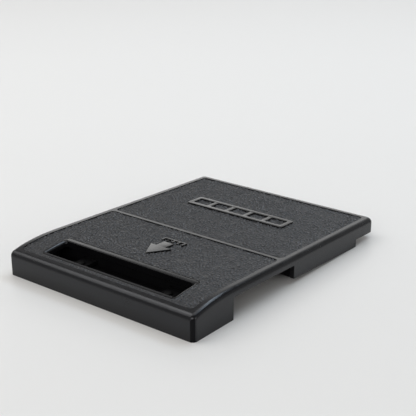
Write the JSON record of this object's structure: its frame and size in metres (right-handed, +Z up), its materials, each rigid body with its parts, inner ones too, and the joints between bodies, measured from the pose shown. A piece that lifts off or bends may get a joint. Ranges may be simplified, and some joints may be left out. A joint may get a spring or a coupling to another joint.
{
  "type": "negative carrier",
  "caption": "Hollow black moulded carrier cover with inlaid grain panels, a finger slot over a sprung sliding latch, side openings and a sprung film pressure plate.",
  "frame": {"origin": "centre of the cover's footprint on the surface it rests on", "axes": "+Z up through the grained top face, +Y from the finger-slot end to the rear end, +X to the right seen from the finger-slot end"},
  "size_m": [0.0874, 0.1146, 0.0114],
  "materials": {
    "black_plastic": "satin black moulded plastic with a fine spark-eroded texture",
    "grain_plastic": "black plastic with a moulded leather grain of about 1 mm",
    "bezel_plastic": "smooth satin black plastic frame",
    "latch_plastic": "dull black acetal",
    "dark_steel": "blackened steel sheet",
    "bright_steel": "nickel-plated steel",
    "spring_steel": "tempered spring steel",
    "black_rubber": "matt black rubber",
    "black_felt": "black felt light seal"
  },
  "bodies": {
    "cover": {"cover_shell": "black_plastic", "front_grain_panel": "grain_plastic", "rear_grain_panel": "grain_plastic", "slot_bezel": "bezel_plastic", "retainer_plate": "dark_steel", "retainer_screw_1": "bright_steel", "retainer_screw_2": "bright_steel", "retainer_screw_3": "bright_steel", "retainer_screw_4": "bright_steel", "latch_guide_pin_left": "bright_steel", "latch_guide_pin_right": "bright_steel", "latch_spring_left": "spring_steel", "latch_spring_right": "spring_steel", "plate_spring_front": "spring_steel", "plate_spring_rear": "spring_steel", "plate_spring_rivet_front": "bright_steel", "plate_spring_rivet_rear": "bright_steel", "rear_hook_left": "dark_steel", "rear_hook_right": "dark_steel", "rear_hook_rivet_left": "bright_steel", "rear_hook_rivet_right": "bright_steel", "light_seal": "black_felt"},
    "latch": {"latch_slider": "latch_plastic", "finger_grip": "black_rubber", "latch_nose_left": "dark_steel", "latch_nose_right": "dark_steel", "nose_rivet_left": "bright_steel", "nose_rivet_right": "bright_steel"},
    "film_plate": {"pressure_plate": "dark_steel", "plate_guide_pin_1": "bright_steel", "plate_guide_pin_2": "bright_steel", "plate_guide_pin_3": "bright_steel", "plate_guide_pin_4": "bright_steel"}
  },
  "joints": [
    {"name": "latch_slide", "type": "slide", "parent": "cover", "child": "latch", "axis": [0, -1, 0], "range_m": [0, 0.003], "stiffness_N_per_m": 200, "springref_m": -0.004, "deforming": ["latch_spring_left", "latch_spring_right"]},
    {"name": "plate_press", "type": "slide", "parent": "cover", "child": "film_plate", "axis": [0, 0, 1], "range_m": [0, 0.001], "stiffness_N_per_m": 200, "springref_m": -0.003, "deforming": ["plate_spring_front", "plate_spring_rear"]}
  ]
}
